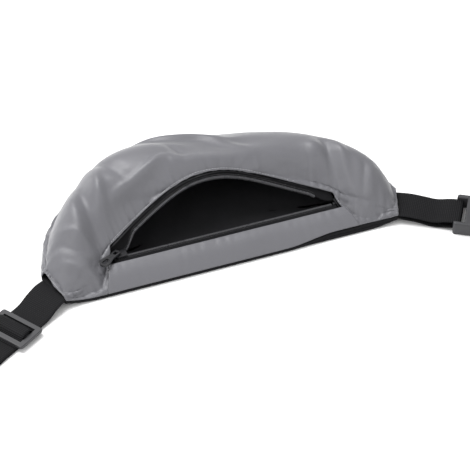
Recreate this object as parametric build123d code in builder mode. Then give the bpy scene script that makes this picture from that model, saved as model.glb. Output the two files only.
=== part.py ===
from build123d import *
from math import asin, cos, hypot, pi, sin, sqrt
import os

# A crescent waist pack lies on its back panel with its zip open and its belt unclipped.
# X runs from wing to wing, +Y from the straight near edge to the curved far edge and +Z is up.
# The origin is the middle of the near edge, on the table. All sizes are in millimetres.

os.makedirs("parts", exist_ok=True)

# ---- pack ----
near_edge_length = 300
pack_depth = 155
pack_height = 64
wing_end_depth = 31
wing_end_splay = 11
far_edge_spread = 3
crown_at = 0.45
crown_shift = 0.14
front_hollow = 1.7
back_fullness = 2.2
edge_rise = 3

# ---- layers ----
shell_thickness = 0.8
lining_thickness = 0.4
panel_thickness = 0.8
padding_thickness = 2.0
padding_inset = 6
binding_thickness = 0.8
binding_width = 5
layer_gap = 0.05
lining_gap = 0.25
seam_gap = 0.3

# ---- curl of the back under the wings ----
flat_half_length = 120
wing_lift = 8

# ---- zip ----
zip_half_length = 101
zip_line_y = 26
mouth_reach = 25
lip_height = 17
seam_splay = 13
tape_exposed = 5.5
tape_thickness = 0.5
coil_width = 2.6
coil_height = 2.4
stop_length = 2.2
slider_length = 10.5
slider_width = 9.6
slider_post = 1.6
slider_plate = 0.9
slider_clearance = 0.35
pull_length = 21
pull_width = 9.5
pull_neck_width = 5.6
pull_thickness = 1.6
pull_hole_length = 7
pull_hole_width = 3.4
pull_pin_radius = 0.7
pull_pin_clearance = 0.05
pull_lug_height = 2.7
pull_lug_width = 2.0
pull_lug_length = 3.0
pull_yaw = 33

# ---- webbing and hardware ----
web_width = 32
web_thickness = 1.4
web_gap = 0.3
table_clearance = 0.2
side_bar = 4.6
adjuster_bar = 4.5
adjuster_at = 39
adjuster_length = 27
adjuster_thickness = 2.8
adjuster_loop_end = 10
long_strap_turn = 14
long_strap_start = 4.7
plug_at = 330
web_bar_radius = 1.8
rail_reach = 1.2
web_slot = 4.4
plug_thickness = 9
plug_plate_length = 10
prong_length = 34
prong_thickness = 5.4
prong_arm = 3.4
prong_root_gap = 0.3
guide_width = 7
guide_length = 30
short_strap_length = 52
short_strap_turn = 13
short_strap_start = 4.6
socket_length = 42
socket_thickness = 12
socket_wall = 2.6
socket_fit = 0.6
socket_floor = 3
window_length = 15

# ---- values that follow from these ----
half_near = near_edge_length / 2
half_far = half_near + wing_end_splay
far_edge_roundness = half_far + far_edge_spread
wing_angle = asin(half_far / far_edge_roundness)
far_edge_height = (pack_depth - wing_end_depth) / (1 - cos(wing_angle))
far_edge_centre = pack_depth - far_edge_height
curl_run = half_far - flat_half_length
curl_radius = (curl_run**2 + wing_lift**2) / (2 * wing_lift)
binding_base = panel_thickness + padding_thickness + lining_thickness
skin_base = binding_base + binding_thickness
dome_base = skin_base + lining_thickness + shell_thickness + 2 * lining_gap
hardware_width = web_width + 2 * side_bar + 2 * web_gap
lower_panel_y = zip_line_y - coil_width / 2 - tape_exposed
upper_panel_y = zip_line_y + coil_width / 2 + tape_exposed
seam_half = zip_half_length + seam_splay
raised_half_length = zip_half_length - slider_length - 2 * stop_length
coil_end = zip_half_length - stop_length - layer_gap


def curl(x):
    """How far the back has risen off the table at x."""
    run = max(0, abs(x) - flat_half_length)
    return curl_radius - sqrt(curl_radius**2 - run**2)


def far_edge(u, inset=0):
    """The curved edge, with u from -1 at the left wing to 1 at the right wing."""
    across = sin(u * wing_angle)
    along = cos(u * wing_angle)
    normal = hypot(far_edge_height * across, far_edge_roundness * along)
    x = far_edge_roundness * across - inset * far_edge_height * across / normal
    y = far_edge_centre + far_edge_height * along - inset * far_edge_roundness * along / normal
    return x, y


def dome_top(u, v):
    """The outside of the front, with v from 0 at the near edge to 1 at the far edge."""
    far_x, far_y = far_edge(u)
    near_x = u * half_near
    x = near_x + (far_x - near_x) * v
    y = far_y * v
    crown = crown_at + crown_shift * sin(pi / 2 * min(1, abs(x) / zip_half_length)) ** 2
    rise = min(v / crown, 1)
    fall = max(0, (v - crown) / (1 - crown))
    near_side = (3 * rise**2 - 2 * rise**3) ** front_hollow
    far_side = 1 - fall**back_fullness
    along = 1 - u**4
    edge = edge_rise * (1 - (2 * v - 1) ** 6)
    swell = (pack_height - dome_base - edge_rise) * along * min(near_side, far_side)
    return Vector(x, y, curl(x) + dome_base + edge + swell)


def dome_layer(drop, thickness):
    """One layer of the front, lowered by drop from its outside and as thick as given, vertically."""
    columns = 32
    rows = 20
    points = [
        [dome_top(2 * i / columns - 1, j / rows) for j in range(rows + 1)]
        for i in range(columns + 1)
    ]
    face = Face.make_surface_from_array_of_points(points)
    return extrude(Pos(0, 0, -drop) * face, amount=thickness, dir=(0, 0, -1), mode=Mode.PRIVATE)


def pack_outline(inset=0):
    """The crescent, as seen from above."""
    wing_end_length = hypot(wing_end_depth, wing_end_splay)
    near_half = half_near - inset * (wing_end_length - wing_end_splay) / wing_end_depth
    with BuildSketch(Plane.XY) as crescent:
        with BuildLine():
            Polyline(
                far_edge(-1, inset), (-near_half, inset), (near_half, inset), far_edge(1, inset)
            )
            Spline(*[far_edge(1 - i / 6, inset) for i in range(13)])
        make_face()
    return crescent.sketch


def curled_layer(bottom, top):
    """Side view of a layer of the back, flat in the middle and curled up at both wings."""
    reach = half_far + 2
    middle = (flat_half_length + reach) / 2
    with BuildSketch(Plane.XZ) as layer:
        with BuildLine():
            Line((-flat_half_length, bottom), (flat_half_length, bottom))
            Line((-flat_half_length, top), (flat_half_length, top))
            for side in (-1, 1):
                for level in (bottom, top):
                    ThreePointArc(
                        (side * flat_half_length, level),
                        (side * middle, level + curl(middle)),
                        (side * reach, level + curl(reach)),
                    )
                Line(
                    (side * reach, bottom + curl(reach)),
                    (side * reach, top + curl(reach)),
                )
        make_face()
    return layer.sketch


def mouth_arc(side_y):
    """A line along the raised lip, from the left end of the zip to the right end."""
    return ThreePointArc(
        (-zip_half_length, side_y), (0, side_y + mouth_reach), (zip_half_length, side_y)
    )


def lip_band(low_y, high_y, half_length):
    """The plan of a strip along the raised lip, between two distances from the zip line."""
    with BuildSketch(Plane.XY) as band:
        with BuildLine():
            low = mouth_arc(zip_line_y + low_y)
            high = mouth_arc(zip_line_y + high_y)
            Line(low @ 0, high @ 0)
            Line(low @ 1, high @ 1)
        make_face()
        Rectangle(2 * half_length, 2 * pack_depth, mode=Mode.INTERSECT)
    return band.sketch


def mouth_plan():
    """What is cut out of the front: the mouth, and the strip between it and the near edge."""
    with BuildSketch(Plane.XY) as plan:
        with BuildLine():
            lip = mouth_arc(upper_panel_y)
            Polyline(
                lip @ 0, (-seam_half, 0), (-seam_half, -1), (seam_half, -1), (seam_half, 0), lip @ 1
            )
        make_face()
    return plan.sketch


def lower_strip_plan(inset=0):
    """The strip between the zip and the near edge, as seen from above."""
    low_half = seam_half - inset
    high_half = zip_half_length + seam_splay * (1 - lower_panel_y / upper_panel_y) - inset
    with BuildSketch(Plane.XY) as plan:
        with BuildLine():
            Polyline(
                (-low_half, inset),
                (low_half, inset),
                (high_half, lower_panel_y),
                (-high_half, lower_panel_y),
                close=True,
            )
        make_face()
    return plan.sketch


# ---- back of the pack ----
with BuildPart() as back_panel:
    extrude(curled_layer(0, panel_thickness), amount=2 * pack_depth, both=True)
    extrude(pack_outline(), amount=pack_height, both=True, mode=Mode.INTERSECT)
back_panel.part.label = "back_panel"
export_step(back_panel.part, "parts/back_panel.step")

with BuildPart() as back_padding:
    padding_top = panel_thickness + padding_thickness
    extrude(curled_layer(panel_thickness, padding_top), amount=2 * pack_depth, both=True)
    extrude(pack_outline(padding_inset), amount=pack_height, both=True, mode=Mode.INTERSECT)
back_padding.part.label = "back_padding"
export_step(back_padding.part, "parts/back_padding.step")

with BuildPart() as back_lining:
    extrude(curled_layer(padding_top, binding_base), amount=2 * pack_depth, both=True)
    extrude(pack_outline(binding_width / 2), amount=pack_height, both=True, mode=Mode.INTERSECT)
back_lining.part.label = "back_lining"
export_step(back_lining.part, "parts/back_lining.step")

# The binding wraps the raw edge of the layers of the back and carries the edge of the front.
with BuildPart() as seam_binding:
    extrude(curled_layer(panel_thickness, skin_base), amount=2 * pack_depth, both=True)
    extrude(pack_outline(), amount=pack_height, both=True, mode=Mode.INTERSECT)
    extrude(pack_outline(binding_width), amount=pack_height, both=True, mode=Mode.SUBTRACT)
    add(back_lining.part, mode=Mode.SUBTRACT)
seam_binding.part.label = "seam_binding"
export_step(seam_binding.part, "parts/seam_binding.step")


# ---- front of the pack ----
with BuildPart() as front_panel:
    add(dome_layer(0, shell_thickness))
    extrude(mouth_plan(), amount=pack_height, mode=Mode.SUBTRACT)
front_panel.part.label = "front_panel"
export_step(front_panel.part, "parts/front_panel.step")

with BuildPart() as front_lining:
    add(dome_layer(shell_thickness + lining_gap, lining_thickness))
    extrude(mouth_plan(), amount=pack_height, mode=Mode.SUBTRACT)
front_lining.part.label = "front_lining"
export_step(front_lining.part, "parts/front_lining.step")


def strip_side(drop, thickness):
    """Side view of a layer of the lower strip, which bows up from the near edge to its lip."""
    near_level = dome_base - drop
    lip_level = lip_height - drop
    with BuildSketch(Plane.YZ) as side:
        with BuildLine():
            ThreePointArc(
                (0, near_level),
                (lower_panel_y / 2, (near_level + lip_level) / 2 + edge_rise / 2),
                (lower_panel_y, lip_level),
            )
        trace(line_width=thickness)
    return side.sketch


with BuildPart() as lower_strip:
    extrude(strip_side(shell_thickness / 2, shell_thickness), amount=seam_half, both=True)
    extrude(lower_strip_plan(seam_gap), amount=pack_height, mode=Mode.INTERSECT)
lower_strip.part.label = "lower_strip"
export_step(lower_strip.part, "parts/lower_strip.step")

with BuildPart() as lower_lining:
    lining_drop = shell_thickness * 1.5 + lining_gap + lining_thickness
    extrude(strip_side(lining_drop, lining_thickness), amount=seam_half, both=True)
    extrude(lower_strip_plan(binding_width / 2), amount=pack_height, mode=Mode.INTERSECT)
lower_lining.part.label = "lower_lining"
export_step(lower_lining.part, "parts/lower_lining.step")


# ---- zip ----
# The lower half of the zip is pulled straight. The upper half arches with the raised lip.
tape_level = lip_height - shell_thickness / 2
tape_middle = lower_panel_y + tape_exposed / 2

with BuildPart() as zip_tape_lower:
    with Locations((0, tape_middle, tape_level)):
        Box(2 * zip_half_length, tape_exposed - 2 * layer_gap, tape_thickness)
zip_tape_lower.part.label = "zip_tape_lower"
export_step(zip_tape_lower.part, "parts/zip_tape_lower.step")

with BuildPart() as zip_coil_lower:
    with Locations((0, zip_line_y, tape_level)):
        Box(2 * coil_end, coil_width, coil_height)
    chamfer(zip_coil_lower.edges().filter_by(Axis.X), coil_height / 4)
zip_coil_lower.part.label = "zip_coil_lower"
export_step(zip_coil_lower.part, "parts/zip_coil_lower.step")

with BuildPart() as zip_tape_upper:
    tape_plan = lip_band(
        coil_width / 2, coil_width / 2 + tape_exposed - layer_gap, raised_half_length
    )
    add(dome_layer((shell_thickness - tape_thickness) / 2, tape_thickness))
    extrude(tape_plan, amount=pack_height, mode=Mode.INTERSECT)
zip_tape_upper.part.label = "zip_tape_upper"
export_step(zip_tape_upper.part, "parts/zip_tape_upper.step")

with BuildPart() as zip_coil_upper:
    coil_plan = lip_band(-coil_width / 2, coil_width / 2 - layer_gap, raised_half_length)
    add(dome_layer((shell_thickness - coil_height) / 2, coil_height))
    extrude(coil_plan, amount=pack_height, mode=Mode.INTERSECT)
zip_coil_upper.part.label = "zip_coil_upper"
export_step(zip_coil_upper.part, "parts/zip_coil_upper.step")

# A stop closes each end of the lower coil, and one more ends the upper coil.
stop_x = zip_half_length - stop_length / 2
stop_places = {
    "zip_bottom_stop": (-stop_x, zip_line_y, tape_level),
    "zip_top_stop_lower": (stop_x, zip_line_y, tape_level),
}
for stop_name, stop_place in stop_places.items():
    with BuildPart() as zip_stop:
        with Locations(stop_place):
            Box(stop_length - layer_gap, coil_width, coil_height)
        fillet(zip_stop.edges().filter_by(Axis.Y), coil_height / 5)
    zip_stop.part.label = stop_name
    export_step(zip_stop.part, f"parts/{stop_name}.step")

# ---- slider, which has the lower coil on one side of its post ----
slider_x = -coil_end + slider_length / 2 + layer_gap
slider_y = zip_line_y + coil_width / 2 + slider_clearance + slider_post / 2
plate_low = tape_level + coil_height / 2 + slider_clearance
slider_top = plate_low + slider_plate
pull_pivot = Vector(slider_x - slider_length / 4, slider_y, slider_top + pull_lug_height * 0.6)
pull_heading = Vector(-1, 0, 0).rotate(Axis.Z, pull_yaw)
pull_axis = pull_heading.cross(Vector(0, 0, 1))

with BuildPart() as zip_slider:
    for face_side in (-1, 1):
        plate_z = tape_level + face_side * (plate_low - tape_level + slider_plate / 2)
        with Locations((slider_x, slider_y, plate_z)):
            Box(slider_length, slider_width, slider_plate)
    fillet(zip_slider.edges().filter_by(Axis.Z), slider_width / 5)
    with Locations((slider_x, slider_y, tape_level)):
        Box(slider_length / 2, slider_post, 2 * (plate_low - tape_level))

    with BuildSketch(Plane.XY.offset(slider_top - layer_gap)):
        with Locations((slider_x - slider_length / 4, slider_y)):
            SlotOverall(pull_lug_length, pull_lug_width)
    extrude(amount=pull_lug_height + layer_gap)
    with BuildSketch(Plane(origin=pull_pivot, z_dir=pull_axis)):
        Circle(pull_pin_radius + pull_pin_clearance)
    extrude(amount=slider_width, both=True, mode=Mode.SUBTRACT)
zip_slider.part.label = "zip_slider"
export_step(zip_slider.part, "parts/zip_slider.step")

pull_plane = Plane(origin=pull_pivot, x_dir=pull_heading, z_dir=(0, 0, 1))
with BuildPart() as zip_pull_tab:
    with BuildSketch(pull_plane):
        with BuildLine():
            neck = pull_neck_width / 2
            broad = pull_width / 2
            Polyline((-1.2, -neck), (-1.2, neck), (8, neck), (pull_length - broad, broad))
            ThreePointArc(
                (pull_length - broad, broad), (pull_length, 0), (pull_length - broad, -broad)
            )
            Polyline((pull_length - broad, -broad), (8, -neck), (-1.2, -neck))
        make_face()
        with Locations((pull_length - broad - 1, 0)):
            SlotOverall(pull_hole_length, pull_hole_width, mode=Mode.SUBTRACT)
        with Locations((0.4, 0)):
            Rectangle(8, pull_lug_width + 2 * slider_clearance, mode=Mode.SUBTRACT)
    extrude(amount=pull_thickness / 2, both=True)
    with BuildSketch(Plane(origin=pull_pivot, z_dir=pull_axis)):
        Circle(pull_pin_radius)
    extrude(amount=neck, both=True)
zip_pull_tab.part.label = "zip_pull_tab"
export_step(zip_pull_tab.part, "parts/zip_pull_tab.step")


# ---- places along the belt, measured outwards from the end of each wing ----
def belt_heading(side):
    """The level direction of a strap, turned from square to the wing's end towards the near side."""
    turn = long_strap_turn if side < 0 else short_strap_turn
    outward = Vector(side * wing_end_depth, -wing_end_splay, 0).normalized()
    return outward.rotate(Axis.Z, -side * turn)


def wing_middle(side, height=0):
    """The middle of a wing's end."""
    return Vector(side * (half_near + wing_end_splay / 2), wing_end_depth / 2, height)


def belt_side(side):
    """A plane for side views of a strap: x runs outwards along it and y is height."""
    heading = belt_heading(side)
    return Plane(origin=wing_middle(side), x_dir=heading, z_dir=heading.cross(Vector(0, 0, 1)))


def belt_top(side, height):
    """A level plane for plans of the hardware: x runs outwards along the strap."""
    return Plane(origin=wing_middle(side, height), x_dir=belt_heading(side), z_dir=(0, 0, 1))


def strap_run(plane, points, radii):
    """The side view of one run of webbing."""
    with BuildSketch(plane) as run:
        with BuildLine():
            FilletPolyline(*points, radius=radii)
        trace(line_width=web_thickness)
    return run.sketch


# ---- levels of the webbing where it lies doubled on the table ----
low_level = table_clearance + web_thickness / 2
high_level = low_level + web_thickness + web_gap
wing_level = curl(half_near + wing_end_splay / 2) + skin_base + web_thickness / 2
bar_offset = web_thickness / 2 + web_gap

# ---- adjuster: a frame with a bar across its middle ----
slot_length = (adjuster_length - 3 * adjuster_bar) / 2
adjuster_level = high_level + bar_offset
adjuster_top = adjuster_level + adjuster_thickness
adjuster_end = adjuster_at + adjuster_length
centre_bar_at = adjuster_at + adjuster_bar + slot_length
centre_bar_end = centre_bar_at + adjuster_bar
over_bar_level = adjuster_top + bar_offset + web_thickness + web_gap

with BuildPart() as adjuster:
    with BuildSketch(belt_top(-1, adjuster_level)):
        with Locations((adjuster_at + adjuster_length / 2, 0)):
            RectangleRounded(adjuster_length, hardware_width, adjuster_bar / 2)
            with GridLocations(adjuster_bar + slot_length, 0, 2, 1):
                Rectangle(slot_length, hardware_width - 2 * side_bar, mode=Mode.SUBTRACT)
    extrude(amount=adjuster_thickness)
    fillet(adjuster.faces().sort_by(Axis.Z)[-1].outer_wire().edges(), adjuster_thickness / 4)
adjuster.part.label = "adjuster"
export_step(adjuster.part, "parts/adjuster.step")

# The returning end of the belt is sewn in a loop round the adjuster's centre bar.
loop_top = adjuster_top + bar_offset
loop_near = centre_bar_at - bar_offset
loop_far = centre_bar_end + bar_offset
loop_end = adjuster_end + adjuster_loop_end
with BuildPart() as adjuster_loop:
    loop_points = [
        (loop_end, low_level),
        (loop_far + slot_length * 0.75, low_level),
        (loop_far, high_level),
        (loop_near, high_level),
        (loop_near, loop_top),
        (loop_far, loop_top),
        (loop_far, high_level + web_thickness + web_gap),
    ]
    loop_run = strap_run(belt_side(-1), loop_points, [1.5, 1.5, 1.1, 1.1, 1.1])
    extrude(loop_run, amount=web_width / 2, both=True)
adjuster_loop.part.label = "adjuster_loop"
export_step(adjuster_loop.part, "parts/adjuster_loop.step")

# ---- long strap: from the left wing over the adjuster's centre bar and out to the plug ----
fold_start = plug_at - 22
with BuildPart() as strap_upper_layer:
    upper_points = [
        (long_strap_start, wing_level),
        (long_strap_start + 8, wing_level - 1),
        (adjuster_at - 12, high_level),
        (adjuster_at + adjuster_bar + web_thickness / 2, high_level),
        (loop_near - 1.3, over_bar_level),
        (loop_far + 0.9, over_bar_level),
        (adjuster_end - adjuster_bar - 1.3, high_level),
        (fold_start, high_level),
    ]
    upper_run = strap_run(belt_side(-1), upper_points, [25, 25, 1.5, 1.2, 1.2, 1.5])
    extrude(upper_run, amount=web_width / 2, both=True)
strap_upper_layer.part.label = "strap_upper_layer"
export_step(strap_upper_layer.part, "parts/strap_upper_layer.step")

with BuildPart() as strap_lower_layer:
    with BuildSketch(belt_side(-1)):
        with Locations(((loop_end + layer_gap + fold_start) / 2, low_level)):
            Rectangle(fold_start - loop_end - layer_gap, web_thickness)
    extrude(amount=web_width / 2, both=True)
strap_lower_layer.part.label = "strap_lower_layer"
export_step(strap_lower_layer.part, "parts/strap_lower_layer.step")


def bar_fold(bar_at, bar_level, start, start_levels):
    """Points of webbing that runs out over a bar, round it and back underneath."""
    above = bar_level + web_bar_radius + bar_offset
    below = bar_level - web_bar_radius - bar_offset
    beyond = bar_at + 2 * web_bar_radius + bar_offset
    return [
        (start, start_levels[0]),
        (start + 6, start_levels[0]),
        (bar_at - 4, above),
        (beyond, above),
        (beyond, below),
        (bar_at - 6, below),
        (start + 7, start_levels[1]),
        (start, start_levels[1]),
    ]


plug_level = table_clearance + plug_thickness / 2
with BuildPart() as strap_fold:
    fold_points = bar_fold(plug_at, plug_level, fold_start + layer_gap, (high_level, low_level))
    fold_run = strap_run(belt_side(-1), fold_points, [6, 6, 2, 2, 8, 8])
    extrude(fold_run, amount=web_width / 2, both=True)
strap_fold.part.label = "strap_fold"
export_step(strap_fold.part, "parts/strap_fold.step")


# ---- side-release buckle ----
inner_width = hardware_width - 2 * side_bar


def web_end(outer_width, rails_from, plate_from, plate_to):
    """Plan of the end of a buckle half that holds the webbing: two rails and a plate."""
    length = plate_to - rails_from
    with BuildSketch() as plan:
        with Locations(((rails_from + plate_to) / 2, 0)):
            RectangleRounded(length, outer_width, side_bar / 2)
        with Locations(((rails_from + plate_from) / 2 - side_bar, 0)):
            Rectangle(plate_from - rails_from + 2 * side_bar, inner_width, mode=Mode.SUBTRACT)
    return plan.sketch


def web_bar(side_plane, bar_at, bar_level):
    """The round bar that the webbing goes round, from rail to rail."""
    with BuildPart(mode=Mode.PRIVATE) as bar:
        with BuildSketch(side_plane):
            with Locations((bar_at + web_bar_radius, bar_level)):
                Circle(web_bar_radius)
        extrude(amount=hardware_width / 2 - 1, both=True)
    return bar.part


plug_plate_at = plug_at + 2 * web_bar_radius + web_slot
plug_plate_end = plug_plate_at + plug_plate_length
plug_plane = belt_top(-1, plug_level)
with BuildPart() as plug_base:
    extrude(
        plug_plane * web_end(hardware_width, plug_at - rail_reach, plug_plate_at, plug_plate_end),
        amount=plug_thickness / 2,
        both=True,
    )
    chamfer(plug_base.edges().filter_by(GeomType.LINE).group_by(Axis.Z)[-1], 0.8)
    add(web_bar(belt_side(-1), plug_at, plug_level))
    with BuildSketch(plug_plane):
        with Locations((plug_plate_end + guide_length / 2 - 1, 0)):
            RectangleRounded(guide_length + 2, guide_width, guide_width / 4)
    extrude(amount=prong_thickness / 2, both=True)
plug_base.part.label = "plug_base"
export_step(plug_base.part, "parts/plug_base.step")

# Each prong is a springy arm with a head that sticks out through the socket's side window.
prong_root = plug_plate_end + prong_root_gap
prong_outer = inner_width / 2 + 1
for prong_side, prong_name in ((1, "prong_near"), (-1, "prong_far")):
    with BuildPart() as prong:
        with BuildSketch(plug_plane):
            with BuildLine():
                Polyline(
                    (prong_root, prong_side * (prong_outer - prong_arm)),
                    (prong_root, prong_side * prong_outer),
                    (prong_root + prong_length * 0.4, prong_side * (prong_outer - 1.5)),
                    (prong_root + prong_length * 0.45, prong_side * (prong_outer + 2)),
                    (prong_root + prong_length * 0.7, prong_side * (prong_outer + 1)),
                )
                ThreePointArc(
                    (prong_root + prong_length * 0.7, prong_side * (prong_outer + 1)),
                    (prong_root + prong_length * 0.92, prong_side * (prong_outer - 3)),
                    (prong_root + prong_length, prong_side * (prong_outer - 7)),
                )
                Polyline(
                    (prong_root + prong_length, prong_side * (prong_outer - 7)),
                    (prong_root + prong_length * 0.8, prong_side * (prong_outer - 7.5)),
                    (prong_root, prong_side * (prong_outer - prong_arm)),
                )
            make_face()
        extrude(amount=prong_thickness / 2, both=True)
        fillet(prong.edges().filter_by(Axis.Z), 0.5)
    prong.part.label = prong_name
    export_step(prong.part, f"parts/{prong_name}.step")

# The socket takes the prongs and the guide in one flat pocket that is open at its far end.
socket_level = table_clearance + socket_thickness / 2
socket_plate_at = short_strap_length + 2 * web_bar_radius + web_slot
socket_end = socket_plate_at + socket_length
socket_plane = belt_top(1, socket_level)
pocket_height = prong_thickness + 2 * socket_fit
window_at = socket_end - socket_wall - prong_length * 0.45 - window_length / 2
with BuildPart() as socket:
    extrude(
        socket_plane
        * web_end(hardware_width, short_strap_length - rail_reach, socket_plate_at, socket_end),
        amount=socket_thickness / 2,
        both=True,
    )
    fillet(socket.edges().filter_by(GeomType.LINE).group_by(Axis.Z)[-1], 2)
    fillet(socket.edges().filter_by(GeomType.LINE).group_by(Axis.Z)[0], 1)
    add(web_bar(belt_side(1), short_strap_length, socket_level))
    with BuildSketch(socket_plane):
        with Locations(((socket_plate_at + socket_floor + socket_end + 2) / 2, 0)):
            Rectangle(socket_length - socket_floor + 2, hardware_width - 2 * socket_wall)
        with Locations((window_at, 0)):
            Rectangle(window_length, hardware_width + 2)
    extrude(amount=pocket_height / 2, both=True, mode=Mode.SUBTRACT)
socket.part.label = "socket"
export_step(socket.part, "parts/socket.step")

# ---- short strap: from the right wing round the socket's bar and back under itself ----
with BuildPart() as short_strap:
    over = socket_level + web_bar_radius + bar_offset
    under = socket_level - web_bar_radius - bar_offset
    beyond = short_strap_length + 2 * web_bar_radius + bar_offset
    short_points = [
        (short_strap_start, wing_level),
        (short_strap_start + 13, wing_level - 1.3),
        (short_strap_start + 29, over - 3),
        (short_strap_length - 5, over),
        (beyond, over),
        (beyond, under),
        (short_strap_length - 6, under - 0.5),
        (short_strap_start + 29, low_level + 0.2),
        (short_strap_start + 13, wing_level - 5.5),
        (short_strap_start, wing_level - web_thickness - web_gap),
    ]
    short_run = strap_run(
        belt_side(1), short_points, [12, 12, 8, 2, 2, 12, 12, 12]
    )
    extrude(short_run, amount=web_width / 2, both=True)
short_strap.part.label = "short_strap"
export_step(short_strap.part, "parts/short_strap.step")
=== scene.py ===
import math

import bpy
import numpy as np
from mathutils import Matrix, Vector


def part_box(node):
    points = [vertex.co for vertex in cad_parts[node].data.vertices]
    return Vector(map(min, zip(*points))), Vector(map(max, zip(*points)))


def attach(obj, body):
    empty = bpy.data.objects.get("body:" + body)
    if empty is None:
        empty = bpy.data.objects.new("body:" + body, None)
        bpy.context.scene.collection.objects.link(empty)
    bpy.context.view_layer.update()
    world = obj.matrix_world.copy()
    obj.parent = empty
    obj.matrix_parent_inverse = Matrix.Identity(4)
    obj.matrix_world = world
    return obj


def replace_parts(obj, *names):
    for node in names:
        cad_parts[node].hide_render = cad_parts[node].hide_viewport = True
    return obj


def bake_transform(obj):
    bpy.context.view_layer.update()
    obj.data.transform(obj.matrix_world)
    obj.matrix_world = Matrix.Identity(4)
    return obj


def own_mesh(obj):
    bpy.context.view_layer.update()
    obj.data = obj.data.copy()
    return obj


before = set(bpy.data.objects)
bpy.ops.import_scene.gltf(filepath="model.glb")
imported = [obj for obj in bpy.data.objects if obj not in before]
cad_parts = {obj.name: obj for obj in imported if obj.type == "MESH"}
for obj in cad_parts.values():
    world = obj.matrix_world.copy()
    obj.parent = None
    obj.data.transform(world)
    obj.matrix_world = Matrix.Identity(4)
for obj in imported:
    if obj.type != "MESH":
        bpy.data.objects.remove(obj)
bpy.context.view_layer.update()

# Everything below is worked out in millimetres and turned into metres when a mesh is made.
MM = 0.001

# ---- sizes taken from the frame ----
half_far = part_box("back_panel")[1].x / MM
pack_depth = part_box("back_panel")[1].y / MM
pack_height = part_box("front_panel")[1].z / MM
coil_low, coil_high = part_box("zip_coil_lower")
coil_end = coil_high.x / MM
coil_level = (coil_low.z + coil_high.z) / 2 / MM
zip_line_y = (coil_low.y + coil_high.y) / 2 / MM
slider_low, slider_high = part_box("zip_slider")
slider_x = (slider_low.x + slider_high.x) / 2 / MM

# ---- the outline of the back ----
half_near = half_far - 11
wing_end_depth = 31
far_edge_roundness = 164
near_bow = 3.0
flat_half_length = 120
wing_lift = 8

# ---- the crown of the front: where it is highest, and how its sides fall away ----
crown_at = 0.45
crown_shift = 0.14
front_hollow = 1.7
corner_hollow = 1.15
back_fullness = 2.2
left_fullness = 0.12
right_bluntness = 7
left_bluntness = 3.6
shoulder_height = 8.5
shoulder_at = -0.18
shoulder_width = 0.3
far_bulge = 5
edge_rise = 3
rim_height = 3.4
rim_lift = 3.2

# ---- the mouth, its zip and the cloth round it ----
zip_half = 101
seam_half = 114
mouth_reach = 25
zip_allowance = 6.8
lip_y = zip_line_y + zip_allowance
strip_y = zip_line_y - zip_allowance
lip_height = coil_level + 0.4
shell_thickness = 0.8
thread_lift = 0.15

# ---- the belt ----
web_half = 16
web_thickness = 1.4

wing_angle = math.asin(half_far / far_edge_roundness)
far_edge_height = (pack_depth - wing_end_depth) / (1 - math.cos(wing_angle))
far_edge_centre = pack_depth - far_edge_height
curl_run = half_far - flat_half_length
curl_radius = (curl_run**2 + wing_lift**2) / (2 * wing_lift)
mouth_radius = (zip_half**2 + mouth_reach**2) / (2 * mouth_reach)


# ================= camera, light and floor =================
SENSOR_WIDTH = 36
PICTURE_WIDTH = 470
PIXELS_PER_MM = 1.157


def look_from(azimuth, elevation, distance, target, aside, lower):
    """Places the camera round a target, with the picture's centre moved aside and lower."""
    a, e = math.radians(azimuth), math.radians(elevation)
    back = Vector((math.sin(a) * math.cos(e), -math.cos(a) * math.cos(e), math.sin(e)))
    right = Vector((math.cos(a), math.sin(a), 0))
    up = back.cross(right)
    centre = Vector(target) + right * aside - up * lower
    camera = bpy.data.objects.new("camera", bpy.data.cameras.new("camera"))
    camera.location = centre + back * distance
    camera.rotation_mode = "QUATERNION"
    camera.rotation_quaternion = (-back).to_track_quat("-Z", "Y")
    camera.data.lens = SENSOR_WIDTH * PIXELS_PER_MM * distance / MM / PICTURE_WIDTH
    bpy.context.scene.collection.objects.link(camera)
    bpy.context.scene.camera = camera


look_from(-21, 40.5, 1.5, (0, 0.07, 0.025), 0.0233, 0.0365)


def area_light(name, place, aim, size, watts):
    """A soft square light."""
    data = bpy.data.lights.new(name, "AREA")
    data.size = size
    data.energy = watts
    light = bpy.data.objects.new(name, data)
    light.location = place
    light.rotation_mode = "QUATERNION"
    light.rotation_quaternion = (Vector(aim) - Vector(place)).to_track_quat("-Z", "Y")
    bpy.context.scene.collection.objects.link(light)


area_light("light_top", (-0.5, 0.6, 1.5), (0, 0.05, 0), 1.1, 34)
area_light("light_left", (-1.5, -0.7, 0.9), (0, 0.05, 0), 1.0, 8)
area_light("light_front", (0.7, -1.5, 1.1), (0, 0.05, 0), 1.0, 6)

world = bpy.data.worlds.new("studio")
world.use_nodes = True
world.node_tree.nodes["Background"].inputs["Color"].default_value = (1, 1, 1, 1)
world.node_tree.nodes["Background"].inputs["Strength"].default_value = 0.66
bpy.context.scene.world = world
bpy.context.scene.view_settings.view_transform = "Standard"


def studio_floor():
    """A wide white floor."""
    mesh = bpy.data.meshes.new("floor")
    reach = 40
    corners = [(-reach, -reach, 0), (reach, -reach, 0), (reach, reach, 0), (-reach, reach, 0)]
    mesh.from_pydata(corners, [], [(0, 1, 2, 3)])
    floor = bpy.data.objects.new("floor", mesh)
    bpy.context.scene.collection.objects.link(floor)
    paint = bpy.data.materials.new("floor_white")
    paint.use_nodes = True
    surface = paint.node_tree.nodes["Principled BSDF"]
    surface.inputs["Base Color"].default_value = (0.93, 0.93, 0.93, 1)
    surface.inputs["Roughness"].default_value = 0.9
    surface.inputs["Specular IOR Level"].default_value = 0.1
    mesh.materials.append(paint)


studio_floor()


# ================= materials =================
# Bands in one metre of the wave texture at scale 1.
BANDS_PER_METRE = 3.1831


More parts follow.
